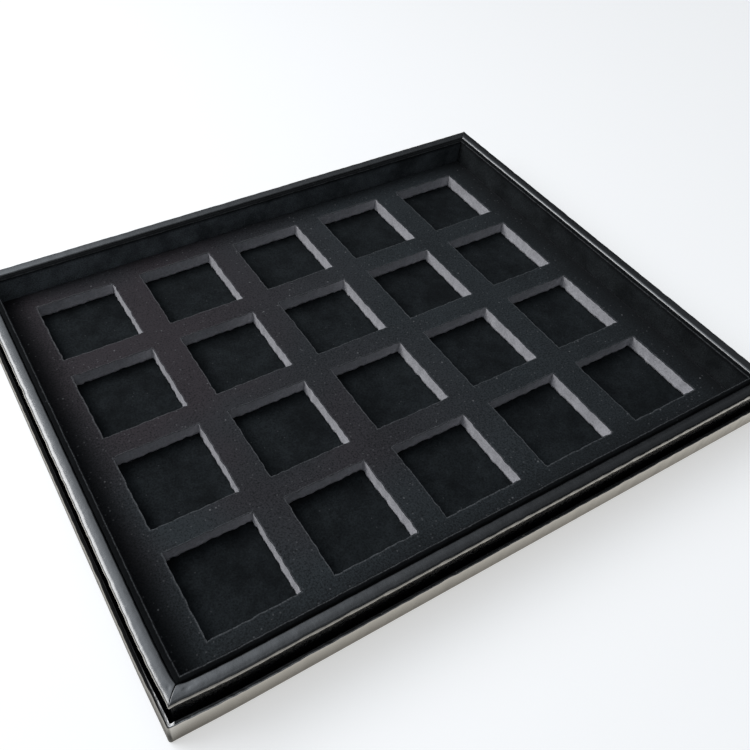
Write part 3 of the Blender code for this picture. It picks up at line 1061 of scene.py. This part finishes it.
def make_table(material):
    """A wide white table."""
    half = TABLE_SIDE / 2
    mesh = bpy.data.meshes.new("table")
    mesh.from_pydata(
        [(-half, -half, 0.0), (half, -half, 0.0), (half, half, 0.0), (-half, half, 0.0)],
        [],
        [(0, 1, 2, 3)],
    )
    mesh.materials.append(material)
    table = bpy.data.objects.new("table", mesh)
    bpy.context.scene.collection.objects.link(table)


def make_camera():
    """The camera, from its place, elevation, heading and roll."""
    elevation, heading, roll = (
        math.radians(a) for a in (CAMERA_ELEVATION, CAMERA_HEADING, CAMERA_ROLL)
    )
    ahead = Vector(
        (
            math.sin(heading) * math.cos(elevation),
            math.cos(heading) * math.cos(elevation),
            -math.sin(elevation),
        )
    )
    level = Vector((math.cos(heading), -math.sin(heading), 0.0))
    above = level.cross(ahead)
    right = level * math.cos(roll) + above * math.sin(roll)
    up = right.cross(ahead)
    data = bpy.data.cameras.new("camera")
    data.sensor_width = SENSOR_WIDTH_MM
    data.lens = FOCAL_LENGTH_PX / IMAGE_SIDE_PX * SENSOR_WIDTH_MM
    data.shift_x = 0.5 - PRINCIPAL_COLUMN_PX / IMAGE_SIDE_PX
    data.clip_start = CAMERA_NEAREST
    data.clip_end = CAMERA_FARTHEST
    camera = bpy.data.objects.new("camera", data)
    bpy.context.scene.collection.objects.link(camera)
    turn = Matrix((right, up, -ahead)).transposed()
    camera.matrix_world = Matrix.Translation(CAMERA_PLACE) @ turn.to_4x4()
    bpy.context.scene.camera = camera


def make_lamp():
    """A rectangular soft lamp in the place of the window, facing the box."""
    data = bpy.data.lights.new("window", "AREA")
    data.shape = "RECTANGLE"
    data.size, data.size_y = LAMP_SIZE
    data.energy = LAMP_POWER
    lamp = bpy.data.objects.new("window", data)
    bpy.context.scene.collection.objects.link(lamp)
    lamp.location = LAMP_PLACE
    lamp.rotation_euler = (-Vector(LAMP_PLACE)).to_track_quat("-Z", "Y").to_euler()


def make_world():
    """Soft room light: bright on the left and behind the box, dim in front of it and to its right.

    With (x, y, z) the direction, h = (0.75 - x) / 0.95 held between 0 and 0.75, the strength is
    (WALL_STRENGTH * h^3 + ROOM_STRENGTH) times a ramp of y from 0.26 in front to 1 behind, times a
    ramp of z from 0.1 at the horizon to 1 near the zenith. In the back right corner of the room
    DARK_CORNER_STRENGTH takes the place of ROOM_STRENGTH. The camera sees it as plain white.
    """
    world = bpy.data.worlds.new("room")
    bpy.context.scene.world = world
    world.use_nodes = True
    tree = world.node_tree
    split = tree.nodes.new("ShaderNodeSeparateXYZ")
    direction = tree.nodes.new("ShaderNodeTexCoord").outputs["Generated"]
    tree.links.new(direction, split.inputs["Vector"])
    x, y, z = (split.outputs[axis] for axis in "XYZ")
    near = ramp(tree, x, 0.75, 0.0375, 0.0, 0.75)
    wall = join(tree, "MULTIPLY", join(tree, "POWER", near, 3.0), WALL_STRENGTH)
    to_right = ramp(tree, x, 0.5, 0.68, 0.0, 1.0)
    to_back = ramp(tree, y, 0.28, 0.42, 0.0, 1.0)
    in_corner = join(tree, "MULTIPLY", to_right, to_back)
    rest = ramp(tree, in_corner, 0.0, 1.0, ROOM_STRENGTH, DARK_CORNER_STRENGTH)
    strength = join(tree, "ADD", wall, rest)
    strength = join(tree, "MULTIPLY", strength, ramp(tree, y, -0.15, 0.35, 0.26, 1.0))
    strength = join(tree, "MULTIPLY", strength, ramp(tree, z, 0.1, 0.85, 0.1, 1.0))
    background = tree.nodes["Background"]
    seen = tree.nodes.new("ShaderNodeLightPath").outputs["Is Camera Ray"]
    tree.links.new(mixed(tree, seen, ROOM_COLOUR, PLAIN_WHITE), background.inputs["Color"])
    unseen = ramp(tree, seen, 0.0, 1.0, 1.0, 0.0)
    strength = join(tree, "ADD", join(tree, "MULTIPLY", strength, unseen), seen)
    tree.links.new(strength, background.inputs["Strength"])


def main():
    """Builds the whole scene."""
    tray_finish = leatherette(
        "tray_leatherette",
        roughness=0.20,
        coat_roughness=0.12,
        grain_height=0.0008 * MM,
        pucker_height=0.03 * MM,
        gloss=1.2,
        coat_gloss=4.4,
    )
    # Painted shade in the tray's reflections: a duller foot and left side
    paint_tray_reflection_shade(tray_finish)
    neck_finish = leatherette(
        "neck_leatherette",
        roughness=0.27,
        coat_roughness=0.20,
        grain_height=0.001 * MM,
        pucker_height=0.06 * MM,
        gloss=1.85,
        coat_gloss=1.5,
    )
    # The liners' light colour is the colour of their painted sheen and of their paler pile
    liner_finish = velvet(
        "liner_velvet",
        dark=(0.002, 0.0022, 0.0025),
        light=(0.20, 0.225, 0.24),
        fold_colour=(0.10, 0.104, 0.108),
    )
    pad_finish = velvet(
        "pad_velvet",
        dark=(0.0018, 0.0022, 0.0026),
        light=(0.018, 0.0215, 0.0235),
        fold_colour=(0.06, 0.062, 0.066),
    )
    make_tray(tray_finish)
    for number, side in enumerate(SIDES):
        make_neck_rail(side, neck_finish, FIRST_NECK_SEED + 2 * number)
        make_liner(side, liner_finish, FIRST_LINER_SEED + 2 * number)
    make_foam(flock(), bare_foam())
    make_pad(pad_finish)
    make_table(table_white())
    make_camera()
    make_lamp()
    make_world()
    bpy.context.scene.view_settings.view_transform = "Standard"


main()
